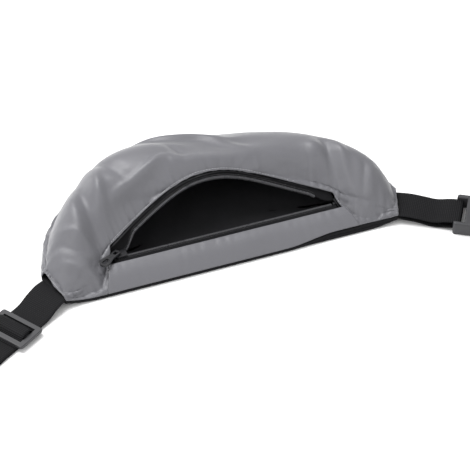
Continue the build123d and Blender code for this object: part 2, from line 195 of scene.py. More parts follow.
class Shader:
    """A material under construction, with short calls for the nodes it is made of."""

    def __init__(self, name, colour, roughness, specular=0.5):
        self.material = bpy.data.materials.new(name)
        self.material.use_nodes = True
        self.tree = self.material.node_tree
        self.surface = self.tree.nodes["Principled BSDF"]
        self.surface.inputs["Base Color"].default_value = (*colour, 1)
        self.surface.inputs["Roughness"].default_value = roughness
        self.surface.inputs["Specular IOR Level"].default_value = specular
        self.colour = colour
        self.height = None

    def node(self, kind, **settings):
        """A new node with its settings."""
        made = self.tree.nodes.new(kind)
        for key, value in settings.items():
            setattr(made, key, value)
        return made

    def link(self, output, target):
        """Joins an output socket to an input socket."""
        self.tree.links.new(output, target)

    def place(self, attribute=None, scale=(1, 1, 1)):
        """Coordinates in metres: the object's own, or a stored attribute that runs along the cloth."""
        if attribute:
            source = self.node("ShaderNodeAttribute", attribute_name=attribute).outputs["Vector"]
        else:
            source = self.node("ShaderNodeTexCoord").outputs["Object"]
        mapping = self.node("ShaderNodeMapping")
        mapping.inputs["Scale"].default_value = scale
        self.link(source, mapping.inputs["Vector"])
        return mapping.outputs["Vector"]

    def wave(self, coordinates, direction, per_metre, distortion=0.0):
        """Even bands, so many to the metre."""
        made = self.node("ShaderNodeTexWave", wave_type="BANDS", bands_direction=direction)
        made.inputs["Scale"].default_value = per_metre / BANDS_PER_METRE
        made.inputs["Distortion"].default_value = distortion
        made.inputs["Detail"].default_value = 0
        self.link(coordinates, made.inputs["Vector"])
        return made.outputs["Fac"]

    def noise(self, coordinates, scale, detail):
        """Uneven patches, smaller as the scale grows."""
        made = self.node("ShaderNodeTexNoise")
        made.inputs["Scale"].default_value = scale
        made.inputs["Detail"].default_value = detail
        self.link(coordinates, made.inputs["Vector"])
        return made.outputs["Fac"]

    def mixed(self, operation, first, second):
        """Two factors, or a factor and a number, put together."""
        made = self.node("ShaderNodeMath", operation=operation)
        for socket, value in zip(made.inputs, (first, second)):
            if isinstance(value, (int, float)):
                socket.default_value = value
            else:
                self.link(value, socket)
        return made.outputs[0]

    def shade(self, factor, low, high):
        """The colour runs from low to high times its base as the factor goes from 0 to 1."""
        ramp = self.node("ShaderNodeValToRGB")
        for element, strength in zip(ramp.color_ramp.elements, (low, high)):
            element.color = (*[min(1, c * strength) for c in self.colour], 1)
        self.link(factor, ramp.inputs["Fac"])
        self.link(ramp.outputs["Color"], self.surface.inputs["Base Color"])

    def rough(self, factor, low, high):
        """Roughness runs from low to high with the factor."""
        span = self.node("ShaderNodeMapRange")
        span.inputs["To Min"].default_value = low
        span.inputs["To Max"].default_value = high
        self.link(factor, span.inputs["Value"])
        self.link(span.outputs["Result"], self.surface.inputs["Roughness"])

    def bump(self, factor, depth):
        """A bump of that depth in metres, laid over any earlier one."""
        made = self.node("ShaderNodeBump")
        made.inputs["Distance"].default_value = depth
        made.inputs["Strength"].default_value = 1
        self.link(factor, made.inputs["Height"])
        if self.height:
            self.link(self.height, made.inputs["Normal"])
        self.height = made.outputs["Normal"]
        self.link(self.height, self.surface.inputs["Normal"])

    def sheen(self, weight, roughness):
        """A soft glow at grazing angles, as loose fibres give."""
        self.surface.inputs["Sheen Weight"].default_value = weight
        self.surface.inputs["Sheen Roughness"].default_value = roughness


def woven(name, colour, roughness, threads_per_metre, depth, sheen, contrast=0.06, specular=0.45):
    """A plain-weave fabric with threads both ways, a little slub and uneven gloss."""
    made = Shader(name, colour, roughness, specular)
    cloth = made.place("cloth")
    warp = made.wave(cloth, "X", threads_per_metre, 0.4)
    weft = made.wave(cloth, "Y", threads_per_metre, 0.4)
    weave = made.mixed("MULTIPLY", warp, weft)
    slub = made.noise(made.place("cloth", (1, 0.25, 1)), 900, 3)
    cloudy = made.noise(made.place(), 22, 3)
    tone = made.mixed("ADD", made.mixed("MULTIPLY", weave, 0.4), made.mixed("MULTIPLY", cloudy, 0.6))
    made.shade(tone, 1 - contrast, 1 + contrast)
    made.rough(cloudy, roughness - 0.07, roughness + 0.07)
    made.bump(weave, depth)
    made.bump(slub, depth * 0.6)
    made.sheen(sheen, 0.4)
    return made.material


def webbing_material():
    """Black webbing: fine ribs across, cords along and matt yarn."""
    made = Shader("webbing_black", (0.009, 0.009, 0.010), 0.68, 0.1)
    strap = made.place("strap")
    ribs = made.wave(strap, "X", 620, 0.3)
    cords = made.wave(strap, "Y", 480)
    soft_cords = made.mixed("ADD", made.mixed("MULTIPLY", cords, 0.6), 0.4)
    weave = made.mixed("MULTIPLY", ribs, soft_cords)
    fluff = made.noise(strap, 1400, 3)
    made.shade(weave, 0.55, 1.7)
    made.rough(fluff, 0.5, 0.75)
    made.bump(weave, 0.00035)
    made.bump(fluff, 0.0001)
    return made.material


def moulded(name, colour, roughness):
    """Moulded plastic with a fine spark-eroded grain and paler rubbed patches."""
    made = Shader(name, colour, roughness, 0.5)
    here = made.place()
    fine = made.noise(here, 4200, 3)
    worn = made.noise(here, 140, 5)
    made.shade(worn, 0.85, 1.2)
    made.rough(worn, roughness - 0.08, roughness + 0.1)
    made.bump(fine, 0.00003)
    return made.material


def enamelled():
    """Black satin paint on the zip's slider and pull."""
    made = Shader("slider_enamel", (0.014, 0.014, 0.016), 0.34, 0.4)
    here = made.place()
    chips = made.noise(here, 900, 5)
    made.shade(chips, 0.8, 1.25)
    made.rough(chips, 0.26, 0.42)
    made.bump(made.noise(here, 3000, 2), 0.00002)
    return made.material


def thread_material(name, colour):
    """Twisted sewing thread."""
    made = Shader(name, colour, 0.5, 0.4)
    twist = made.wave(made.place(), "DIAGONAL", 2600)
    made.shade(twist, 0.8, 1.15)
    made.bump(twist, 0.00006)
    made.sheen(0.3, 0.4)
    return made.material


GREY_NYLON = woven("grey_nylon_satin", (0.125, 0.125, 0.137), 0.36, 2600, 0.00004, 0.2)
BLACK_NYLON = woven("black_nylon_plain", (0.009, 0.009, 0.01), 0.7, 1500, 0.00012, 0.02, 0.15, 0.12)
LINING = woven("lining_dark", (0.016, 0.016, 0.018), 0.6, 1800, 0.0001, 0.03, 0.12, 0.25)
ZIP_TAPE = woven("zip_tape_black", (0.008, 0.008, 0.009), 0.7, 1600, 0.00018, 0.0, 0.25, 0.1)
ZIP_COIL = moulded("zip_coil_black", (0.055, 0.055, 0.06), 0.28)
WEBBING = webbing_material()
PLASTIC = moulded("hardware_dark_grey", (0.03, 0.03, 0.033), 0.5)
ENAMEL = enamelled()
SILVER_THREAD = thread_material("thread_silver", (0.42, 0.42, 0.44))
BLACK_THREAD = thread_material("thread_black", (0.02, 0.02, 0.022))


# ================= mesh helpers =================
def unit(vectors):
    """Each row scaled to length 1."""
    return vectors / np.maximum(np.linalg.norm(vectors, axis=-1, keepdims=True), 1e-9)


def distance_along(points, axis=0):
    """How far each point lies from the first one, measured along the line or along one way of a grid."""
    first = np.take(points, [0], axis=axis)
    steps = np.diff(points, axis=axis, prepend=first)
    return np.cumsum(np.linalg.norm(steps, axis=-1), axis=axis)


def sampled(at, run, values):
    """Rows of values, known at the distances run, read at the distances at."""
    return np.stack([np.interp(at, run, column) for column in values.T], -1)


def smooth(low, high, value):
    """0 below low, 1 above high and an even turn between them."""
    t = np.clip((np.asarray(value, float) - low) / (high - low), 0, 1)
    return t * t * (3 - 2 * t)


def add_object(name, points, faces, material, body="pack", attribute=None, values=None):
    """A mesh object in millimetres that rides on a body and may carry a coordinate attribute."""
    mesh = bpy.data.meshes.new(name)
    mesh.from_pydata([tuple(float(c) * MM for c in p) for p in points], [], faces)
    mesh.materials.append(material)
    if attribute:
        stored = mesh.attributes.new(attribute, "FLOAT_VECTOR", "POINT")
        stored.data.foreach_set("vector", (np.asarray(values, np.float32) * MM).ravel())
    mesh.shade_smooth()
    mesh.update()
    made = bpy.data.objects.new(name, mesh)
    bpy.context.scene.collection.objects.link(made)
    if body:
        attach(made, body)
    return made


def grid_faces(rows, columns, wrap=False):
    """Quads of a grid stored row by row, closed on itself along the rows if it wraps."""
    faces = []
    last = columns if wrap else columns - 1
    for i in range(rows - 1):
        for j in range(last):
            k = (j + 1) % columns
            faces.append((i * columns + j, (i + 1) * columns + j, (i + 1) * columns + k, i * columns + k))
    return faces


def capped_faces(rows, sides):
    """Faces of a tube stored ring by ring, with both ends closed."""
    faces = grid_faces(rows, sides, wrap=True)
    faces.append(tuple(range(sides)))
    faces.append(tuple(range(rows * sides - 1, (rows - 1) * sides - 1, -1)))
    return faces


def apply_modifiers(piece):
    """Bakes a piece's modifiers into its mesh."""
    evaluated = piece.evaluated_get(bpy.context.evaluated_depsgraph_get())
    mesh = bpy.data.meshes.new_from_object(evaluated)
    piece.modifiers.clear()
    piece.data = mesh


def modify(piece, kind, **settings):
    """Adds a modifier with its settings."""
    made = piece.modifiers.new(kind.lower(), kind)
    for key, value in settings.items():
        setattr(made, key, value)
    return made


# ================= the pack's surface =================
def curl(x):
    """How far the back has risen off the table at x."""
    run = np.maximum(0, np.abs(x) - flat_half_length)
    return curl_radius - np.sqrt(np.maximum(curl_radius**2 - run**2, 0))


def near_lift(u):
    """How far, from 0 to 1, the near edge of the right wing is drawn up off the binding."""
    return smooth(0.3, 0.62, u) * (1 - 0.6 * smooth(0.85, 1, u))


def front_point(u, v):
    """The outside of the front. u runs from -1 to 1 between the wings and v from near to far."""
    u, v = np.asarray(u, float), np.asarray(v, float)
    angle = u * wing_angle
    far_x = far_edge_roundness * np.sin(angle)
    far_y = far_edge_centre + far_edge_height * np.cos(angle)
    near_x = u * half_near
    x = near_x + (far_x - near_x) * v
    y = far_y * v
    crown = crown_at + crown_shift * np.sin(np.pi / 2 * np.minimum(1, np.abs(x) / zip_half)) ** 2
    rise = np.minimum(v / crown, 1)
    fall = np.maximum(0, (v - crown) / (1 - crown))
    hollow = front_hollow - corner_hollow * smooth(0.6, 0.82, np.abs(u))
    near_side = (3 * rise**2 - 2 * rise**3) ** hollow
    far_side = 1 - fall**back_fullness
    bluntness = np.where(u > 0, right_bluntness, left_bluntness)
    along = (1 - np.abs(u) ** bluntness) * (1 - left_fullness * np.sin(2 * u))
    shoulder = shoulder_height * np.exp(-(((u - shoulder_at) / shoulder_width) ** 2))
    shoulder = shoulder * np.sin(np.pi * np.clip((v - 0.3) / 0.7, 0, 1))
    edge = edge_rise * (1 - (2 * v - 1) ** 6)
    swell = (pack_height - rim_height - edge_rise) * along * np.minimum(near_side, far_side)
    bulge = far_bulge * np.sin(np.pi * np.clip((v - 0.5) / 0.5, 0, 1)) * np.clip(0.4 - 1.2 * u, 0, 1)
    y = y + bulge + near_bow * near_lift(u) * (1 - v)
    level = curl(x) + rim_height + rim_lift * near_lift(u) * (1 - v)
    return np.stack([x, y, level + edge + swell + shoulder + 0.6 * bulge], -1)


def lip_at(x):
    """The y of the front's lower edge: over the mouth, down a seam, then along the near edge."""
    x = np.abs(x)
    arc = lip_y + mouth_reach - mouth_radius + np.sqrt(np.maximum(mouth_radius**2 - x**2, 0))
    seam = lip_y * (seam_half - x) / (seam_half - zip_half)
    return np.where(x < zip_half, arc, np.clip(seam, 0, lip_y))


def lip_share(u):
    """The v at which each column of the front meets its lower edge."""
    low, high = np.zeros_like(u), np.full_like(u, 0.9)
    for _ in range(40):
        middle = (low + high) / 2
        point = front_point(u, middle)
        short = point[..., 1] < lip_at(point[..., 0])
        low = np.where(short, middle, low)
        high = np.where(short, high, middle)
    return np.where(lip_at(u * half_near) <= 0, 0, (low + high) / 2)


# Creases of the slack cloth: where each starts and ends on the plan, its width and its height.
creases = [
    ((-90, 56), (-40, 74), 4, 3.2),
    ((-84, 50), (-36, 66), 6, -2.2),
    ((-44, 74), (14, 66), 6, 2.0),
    ((-60, 124), (26, 100), 4, 2.8),
    ((-56, 112), (18, 92), 8, -1.8),
    ((-112, 100), (-112, 22), 7, -4.0),
    ((-99, 84), (-101, 38), 5, 2.6),
    ((-126, 76), (-124, 28), 6, 2.2),
    ((-150, 26), (-116, 8), 3, 2.6),
    ((-146, 40), (-112, 16), 4, -2.4),
    ((-142, 50), (-114, 28), 3, 1.8),
    ((106, 74), (108, 18), 5, -3.4),
    ((96, 70), (95, 44), 6, 1.4),
    ((118, 66), (116, 14), 4, 2.0),
    ((134, 42), (120, 8), 3, -1.6),
    ((142, 40), (127, 8), 3, 1.4),
    ((-20, 84), (60, 86), 9, -1.6),
    ((34, 120), (92, 94), 9, 0.7),
    ((-96, 106), (-72, 64), 6, -2.0),
    ((56, 66), (88, 54), 4, 1.8),
    ((10, 100), (40, 76), 5, 1.4),
    ((-30, 96), (-18, 72), 5, -1.4),
]


def crease_height(x, y):
    """The sum of the creases at places on the plan."""
    total = np.zeros_like(x)
    for (ax, ay), (bx, by), width, height in creases:
        length = math.hypot(bx - ax, by - ay)
        ux, uy = (bx - ax) / length, (by - ay) / length
        run = (x - ax) * ux + (y - ay) * uy
        across = (x - ax) * uy - (y - ay) * ux
        bend = 0.06 * (run - length / 2) * np.sin(run / 11)
        none, full = -0.25 * length, 0.35 * length
        fade = smooth(none, full, run) * smooth(none, full, length - run)
        total = total + height * fade * np.exp(-((across - bend) / width) ** 2)
    return total


FRONT_COLUMNS = 281
FRONT_ROWS = 91


def held_at_edges(share, wing):
    """1 in the middle of the front, and 0 along its sewn edges."""
    return np.clip(np.sin(np.pi * share), 0, 1) ** 0.6 * (1 - wing**6)


def front_grid():
    """Points of the front, and their places on the flat cloth, as two arrays of rows by columns."""
    u = np.linspace(-1, 1, FRONT_COLUMNS)
    low = lip_share(u)
    t = np.linspace(0, 1, FRONT_ROWS)[:, None]
    v = low + (1 - low) * t
    points = front_point(np.broadcast_to(u, v.shape), v)
    flat = np.stack([np.broadcast_to(u * half_near, v.shape), v * pack_depth, 0 * v], -1)
    points[..., 2] += crease_height(points[..., 0], points[..., 1]) * held_at_edges(t, u)
    return points, flat


def pucker(edge_run, edge_distance, reach, pitch, depth, seed):
    """Small gathers that run out from a sewn edge and die away over reach."""
    waves = 5
    phase = np.random.default_rng(seed).uniform(0, 2 * np.pi, waves)
    total = sum(
        np.sin(2 * np.pi * edge_run / (pitch * (0.7 + 0.23 * k)) + phase[k]) / (1 + 0.3 * k)
        for k in range(waves)
    )
    return depth * total * np.exp(-np.maximum(edge_distance, 0) / reach)


def front_panel():
    """The grey front: a crowned sheet, slackened by a cloth simulation that holds its sewn edges."""
    points, flat = front_grid()
    piece = add_object(
        "front_panel_cloth", points.reshape(-1, 3), grid_faces(FRONT_ROWS, FRONT_COLUMNS), GREY_NYLON,
        body=None, attribute="cloth", values=flat.reshape(-1, 3),
    )
    slacken(piece)
    return piece


def slacken(piece):
    """Lets the cloth settle with a little more area than its pattern, pinned along its sewn edges."""
    settle_frames = 20
    farthest_move = 4 * MM
    rest = np.array([v.co for v in piece.data.vertices])
    numbers = np.arange(FRONT_ROWS * FRONT_COLUMNS).reshape(FRONT_ROWS, FRONT_COLUMNS)
    inner = numbers[1:-1, 1:-1]
    edge = [int(k) for k in np.setdiff1d(numbers, inner)]
    pins = piece.vertex_groups.new(name="sewn")
    pins.add(edge, 1.0, "REPLACE")
    cloth = modify(piece, "CLOTH")
    cloth.settings.quality = 6
    cloth.settings.mass = 0.12
    cloth.settings.tension_stiffness = 25
    cloth.settings.compression_stiffness = 25
    cloth.settings.shear_stiffness = 8
    cloth.settings.bending_stiffness = 0.6
    cloth.settings.air_damping = 2
    cloth.settings.vertex_group_mass = "sewn"
    cloth.settings.shrink_min = -0.035
    cloth.settings.use_pressure = True
    cloth.settings.uniform_pressure_force = 1.2
    cloth.settings.effector_weights.gravity = 0.15
    cloth.collision_settings.use_collision = False
    scene = bpy.context.scene
    for number in range(1, settle_frames + 1):
        scene.frame_set(number)
    apply_modifiers(piece)
    settled = np.array([v.co for v in piece.data.vertices])
    move = settled - rest
    far = np.linalg.norm(move, axis=1, keepdims=True)
    settled = rest + move * np.minimum(1, farthest_move / np.maximum(far, 1e-9))
    piece.data.vertices.foreach_set("co", settled.astype(np.float32).ravel())
    piece.data.update()
    scene.frame_set(1)


front = front_panel()


def front_points():
    """The front's points in millimetres, as rows by columns."""
    flat = np.empty(FRONT_ROWS * FRONT_COLUMNS * 3, np.float32)
    front.data.vertices.foreach_get("co", flat)
    return flat.reshape(FRONT_ROWS, FRONT_COLUMNS, 3).astype(float) / MM


def normals_of(grid):
    """Outward unit normals of a grid of points."""
    along = np.gradient(grid, axis=1)
    across = np.gradient(grid, axis=0)
    return unit(np.cross(along, across))


def finish_front():
    """Sharpens the creases, adds the gathers along the sewn edges and returns the final grid."""
    grid = front_points()
    share = np.linspace(0, 1, FRONT_ROWS)[:, None]
    wing = np.linspace(-1, 1, FRONT_COLUMNS)[None, :]
    grid[..., 2] += 0.45 * crease_height(grid[..., 0], grid[..., 1]) * held_at_edges(share, wing)
    normal = normals_of(grid)
    run = distance_along(grid, axis=1)
    from_lip = distance_along(grid, axis=0)
    from_far = from_lip[-1:] - from_lip
    # The stitching holds the first few millimetres of the lip flat.
    lip_hold = smooth(1.5, 5, from_lip)
    gathered = 0.3 + 0.7 * np.maximum(smooth(10, -50, grid[..., 0]), smooth(60, 90, grid[..., 0]))
    lift = pucker(run[:1], from_lip - 4, 12, 9, 0.3, 3) * lip_hold * gathered
    lift += pucker(run[-1:], from_far, 8, 13, 0.38, 5) * smooth(0, 4, from_far)
    for side in (-1, 1):
        from_wing = np.abs(grid[..., 0] - side * half_far)
        lift += pucker(grid[..., 1], from_wing, 14, 11, 0.2, 8 + side) * smooth(0, 5, from_wing)
    grid = grid + normal * lift[..., None]
    front.data.vertices.foreach_set("co", (grid * MM).astype(np.float32).ravel())
    front.data.update()
    return grid


front_surface = finish_front()
front_normals = normals_of(front_surface)


# ---- the lip of the front, where the zip is sewn on ----
lip_row = front_surface[0]
lip_inward = unit(front_surface[4] - front_surface[0])
lip_normal = front_normals[3]


def lip_frame(x):
    """The lip's edge at x, with the directions into the cloth and out of its face."""
    right = np.clip(np.searchsorted(lip_row[:, 0], x), 1, FRONT_COLUMNS - 1)
    left = right - 1
    share = ((x - lip_row[left, 0]) / (lip_row[right, 0] - lip_row[left, 0]))[:, None]
    edge = lip_row[left] * (1 - share) + lip_row[right] * share
    inward = lip_inward[left] * (1 - share) + lip_inward[right] * share
    outward = lip_normal[left] * (1 - share) + lip_normal[right] * share
    return edge, inward, outward


def on_front(x, distance):
    """Points just above the front at a distance from its lower edge."""
    edge, inward, outward = lip_frame(x)
    return edge + inward * distance + outward * thread_lift


# ================= fabric parts =================
def fabric(name, points, material, replaced, thickness, offset=-1):
    """A grid of fabric with thickness, standing for a CAD node."""
    rows, columns = points.shape[:2]
    run = distance_along(points, axis=1)
    rise = distance_along(points, axis=0)
    flat = np.stack([run, rise, 0 * run], -1)
    piece = add_object(name, points.reshape(-1, 3), grid_faces(rows, columns), material,
                       attribute="cloth", values=flat.reshape(-1, 3))
    modify(piece, "SOLIDIFY", thickness=thickness * MM, offset=offset)
    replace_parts(piece, replaced)


def front_lining():
    """The lining, a little inside the front, with slack of its own."""
    gap = 1.7
    slack = 0.5
    least_level = 4.2
    least_gap = 1.2
    x, y = front_surface[..., 0], front_surface[..., 1]
    ripple = np.sin(x / 9) * np.sin(y / 13 + x / 40)
    inner = front_surface - front_normals * (gap + slack * (1 + ripple))[..., None]
    inner[..., 2] = np.maximum(inner[..., 2], curl(inner[..., 0]) + least_level)
    inner[..., 2] = np.minimum(inner[..., 2], front_surface[..., 2] - least_gap)
    clear_of_wings = slice(30, FRONT_COLUMNS - 30, 2)
    clear_of_far_edge = slice(None, -4, 2)
    fabric("front_lining_cloth", inner[clear_of_far_edge, clear_of_wings], LINING,
           "front_lining", 0.3)


def strip_points(rows, columns, side_inset=0.0, drop=0.0):
    """The strip from the near edge, where t is 0, to the zip, where it is 1."""
    crown = 2.2
    t = np.linspace(0, 1, rows)[:, None]
    across = np.linspace(-1, 1, columns)[None, :]
    half = seam_half - (seam_half - zip_half) * strip_y / lip_y * t - side_inset
    x = across * half
    lift = near_lift(x / half_near)
    y = near_bow * lift * (1 - t) + t * strip_y
    near_z = rim_height + rim_lift * lift
    z = near_z + (lip_height - near_z) * t + crown * np.sin(np.pi * t)
    sag = np.sin(x / 23 + 1) * 0.5 + np.sin(x / 9.5) * 0.22
    patchy = 0.35 + 0.65 * np.sin(x / 31 + 2) ** 2
    near_gather = pucker(x, t * strip_y, 5, 13, 0.2, 21) * smooth(0, 0.12, t)
    zip_gather = pucker(x, (1 - t) * strip_y, 5, 11, 0.22, 22) * smooth(0, 0.16, 1 - t) * patchy
    z = z + sag * np.sin(np.pi * t) + (near_gather + zip_gather) - drop
    return np.stack([x + 0 * z, y + 0 * z, z], -1)


def loop_heading(loop):
    """The direction of a closed outline at each of its points."""
    return unit(np.roll(loop, -1, axis=0) - np.roll(loop, 1, axis=0))


def crescent(inset, count=72):
    """The outline of the back, anticlockwise from the left end of the near edge."""
    near = np.linspace(-half_near, half_near, count + 1)
    near = np.stack([near, 0 * near], -1)
    angle = np.linspace(wing_angle, -wing_angle, count + 1)
    far_y = far_edge_centre + far_edge_height * np.cos(angle)
    far = np.stack([far_edge_roundness * np.sin(angle), far_y], -1)
    side = np.linspace(0, 1, 8)[1:-1, None]
    ends = [near[-1] + (far[0] - near[-1]) * side, far[-1] + (near[0] - far[-1]) * side]
    loop = np.concatenate([near, ends[0], far, ends[1]])
    ahead = loop_heading(loop)
    inward = np.stack([-ahead[:, 1], ahead[:, 0]], -1)
    return loop + inward * inset


def back_pad():
    """The padded back: a flat face below, round edges and a flat top under the lining."""
    thickness = 3.5
    middle_y = 60
    # Each ring's distance in from the outline, and its height.
    profile = [(34, 0.0), (12, 0.0), (4, 0.0), (1.2, 0.15), (0.2, 1.0), (0.2, 2.1), (1.4, 3.1), (4, 3.4),
               (12, thickness), (34, thickness)]
    rings = []
    for inset, height in profile:
        ring = crescent(inset)
        rings.append(np.concatenate([ring, curl(ring[:, :1]) + height], axis=1))
    rows, columns = len(rings), len(rings[0])
    faces = grid_faces(rows, columns, wrap=True)
    last_ring = (rows - 1) * columns
    middle_low = rows * columns
    middle_high = middle_low + 1
    for k in range(columns):
        following = (k + 1) % columns
        faces.append((k, following, middle_low))
        faces.append((last_ring + following, last_ring + k, middle_high))
    points = np.concatenate([*rings, [[0, middle_y, 0], [0, middle_y, thickness]]])
    piece = add_object("back_pad", points, faces, BLACK_NYLON, attribute="cloth",
                       values=points * [1, 1, 0])
    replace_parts(piece, "back_panel", "back_padding")


def seam_binding():
    """The black binding rolled round the edge of the back, with small waves where it is sewn."""
    half_width = 1.5
    half_height = 1.35
    middle_height = 1.6
    squareness = 0.7
    sides = 14
    loop = crescent(0.9, 150)
    ahead = loop_heading(loop)
    outward = np.stack([ahead[:, 1], -ahead[:, 0]], -1)
    run = distance_along(loop)
    lift = near_lift(loop[:, 0] / half_near) * smooth(8, 0, loop[:, 1])
    wave = pucker(run, 0 * run, 1, 7, 0.12, 31)
    points = []
    for k in range(sides):
        turn = 2 * np.pi * k / sides
        wide = half_width * np.sign(np.cos(turn)) * abs(np.cos(turn)) ** squareness + wave * 0.6
        tall = half_height * np.sign(np.sin(turn)) * abs(np.sin(turn)) ** squareness
        raised = rim_lift * lift * (0.5 + 0.5 * np.sin(turn))
        level = curl(loop[:, 0]) + middle_height + tall + wave + raised
        place = loop + outward * wide[:, None]
        place[:, 1] += near_bow * 0.8 * lift
        points.append(np.concatenate([place, level[:, None]], axis=1))
    points = np.array(points).transpose(1, 0, 2)
    points = np.concatenate([points, points[:1]])
    zero = 0 * points[..., 0]
    flat = np.stack([np.append(run, run[-1] + 3)[:, None] + zero, np.arange(sides) * 0.8 + zero, zero], -1)
    piece = add_object("seam_binding_tape", points.reshape(-1, 3), grid_faces(len(points), sides, True),
                       BLACK_NYLON, attribute="cloth", values=flat.reshape(-1, 3))
    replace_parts(piece, "seam_binding")


def back_lining():
    """The lining over the padding, seen through the mouth, with loose wrinkles."""
    lowest = 3.7
    fullness = 1.1
    u = np.linspace(-1, 1, 121)[None, :] * 0.94
    v = np.linspace(0.06, 0.94, 50)[:, None]
    place = front_point(*np.broadcast_arrays(u, v))
    x, y = place[..., 0], place[..., 1]
    wrinkle = 0.7 * np.sin(x / 11 + y / 17) * np.sin(y / 14)
    wrinkle = wrinkle + 0.35 * np.sin(x / 5 - y / 9)
    level = curl(x) + lowest + (fullness + wrinkle) * np.sin(np.pi * v) ** 2
    fabric("back_lining_cloth", np.stack([x, y, level], -1), LINING, "back_lining", 0.4)


front_lining()
modify(front, "SOLIDIFY", thickness=shell_thickness * MM, offset=-1)
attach(front, "pack")
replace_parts(front, "front_panel")
strip_surface = strip_points(26, 231)
fabric("lower_strip_cloth", strip_surface, GREY_NYLON, "lower_strip", shell_thickness)
lower_lining_surface = strip_points(10, 81, side_inset=2, drop=1.5)
fabric("lower_lining_cloth", lower_lining_surface, LINING, "lower_lining", 0.3)
back_pad()
seam_binding()
back_lining()


# ================= thread and stitches =================
def tube_points(path, radius, sides, up=(0, 0, 1)):
    """Rings of points round a path, as an array of path length by sides."""
    ahead = unit(np.gradient(path, axis=0))
    aside = unit(np.cross(ahead, np.asarray(up, float)))
    over = np.cross(aside, ahead)
    turn = np.linspace(0, 2 * np.pi, sides, endpoint=False)
    radius = np.broadcast_to(np.asarray(radius, float).reshape(-1, 1, 1), (len(path), 1, 1))
    ring = aside[:, None] * np.cos(turn)[None, :, None] + over[:, None] * np.sin(turn)[None, :, None]
    return path[:, None] + radius * ring


class Batch:
    """Many small shapes gathered in one mesh."""

    def __init__(self):
        self.points = []
        self.faces = []
        self.count = 0

    def tube(self, path, radius, sides, up=(0, 0, 1)):
        """Adds a closed tube along a path."""
        rings = tube_points(path, radius, sides, up)
        faces = capped_faces(len(rings), sides)
        self.faces += [tuple(k + self.count for k in face) for face in faces]
        self.points.append(rings.reshape(-1, 3))
        self.count += len(rings) * sides

    def stitches(self, path, pitch=2.6, share=0.72, radius=0.24):
        """Adds a row of stitches along a path: each one a short thread that dips at both ends."""
        dip = 0.1 * np.array([-1.5, 0.3, 1, 0.3, -1.5])
        thickness = radius * np.array([0.55, 1, 1, 1, 0.55])
        run = distance_along(path)
        for k in range(int(run[-1] / pitch)):
            at = (k + 0.5) * pitch + np.linspace(-0.5, 0.5, 5) * pitch * share
            line = sampled(at, run, path)
            line[:, 2] += dip
            self.tube(line, thickness, 6)

    def finish(self, name, material, slot):
        """The gathered shapes as one piece that rides on the pack."""
        return add_object(name, np.concatenate(self.points), self.faces, material)


lip_inset = 1.9
seam_inset = 1.7
topstitch = Batch()
topstitch.stitches(on_front(np.linspace(-zip_half + 1, zip_half - 1, 260), lip_inset))
for side in (-1, 1):
    seam_x = np.linspace(side * (zip_half + 1.2), side * (seam_half - 1), 20)
    topstitch.stitches(on_front(seam_x, seam_inset))
topstitch.finish("topstitch_silver", SILVER_THREAD, "grey_nylon")

strip_stitch = Batch()
row_by_zip = 23
row_by_near_edge = 2
strip_stitch.stitches(strip_surface[row_by_zip] + [0, 0, thread_lift])
strip_stitch.stitches(strip_surface[row_by_near_edge] + [0, 0, thread_lift], pitch=3.0)
strip_stitch.finish("strip_stitch", SILVER_THREAD, "grey_nylon")


# ================= zip =================
mesh_y = zip_line_y + 4.9
# The raised half hangs from the lip this way, leaning in from both ends, and its face points this way.
hang = np.array([0, -0.62, -0.78])
hang_lean = 0.55
hang_length = 6.4
lip_face = np.array([0, -0.78, 0.62])
# The raised coil starts past the slider, and stops short of the place where the slider's travel ends.
slider_room_left = 3
slider_room_right = 11.5


def upper_zip_line():
    """The middle of the raised coil: out of the slider, along the lip and down to the right-hand end."""
    x = np.linspace(0.3 - zip_half, zip_half - 0.3, 240)
    edge, inward, _ = lip_frame(x)
    lean = np.stack([-hang_lean * x / zip_half, 0 * x, 0 * x], -1)
    line = edge + unit(hang + lean) * hang_length
    free_of_slider = smooth(slider_x + slider_room_left, slider_x + 14, x)[:, None]
    free_of_right_end = smooth(coil_end, coil_end - 16, x)[:, None]
    at_slider = np.stack([x, mesh_y + 0 * x, coil_level + 0 * x], -1)
    at_right_end = at_slider + [0, -1.8, 1.2]
    line = at_slider * (1 - free_of_slider) + line * free_of_slider
    line = at_right_end * (1 - free_of_right_end) + line * free_of_right_end
    return x, line, edge, inward


def coil(name, line, tape_side, replaced):
    """The nylon coil: a flat helix of monofilament round its cord, with a sewing line above and below."""
    pitch = 1.35
    steps = 12
    half_width = 1.25
    half_height = 0.75
    sewing_level = 0.95
    run = distance_along(line)
    at = np.linspace(0, run[-1], int(run[-1] / pitch) * steps)
    centre = sampled(at, run, line)
    aside = sampled(at, run, tape_side)
    over = unit(np.cross(unit(np.gradient(centre, axis=0)), aside))
    turn = (2 * np.pi * at / pitch)[:, None]
    path = centre + aside * (half_width * np.cos(turn)) + over * (half_height * np.sin(turn))
    sparse = slice(None, None, steps // 2)
    made = Batch()
    made.tube(path, 0.36, 6, up=(0.03, 0.02, 1))
    made.tube(centre[sparse], 0.5, 8)
    for level in (-sewing_level, sewing_level):
        made.tube((centre + aside * 0.2 + over * level)[sparse], 0.2, 5)
    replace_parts(made.finish(name, ZIP_COIL, "zip_coil"), replaced)


def tape(name, inner, outer, replaced):
    """Zip tape between the coil and the panel it is sewn to."""
    share = np.linspace(0, 1, 9)[:, None, None]
    points = inner * (1 - share) + outer * share
    fabric(name, points, ZIP_TAPE, replaced, 0.5, offset=0)


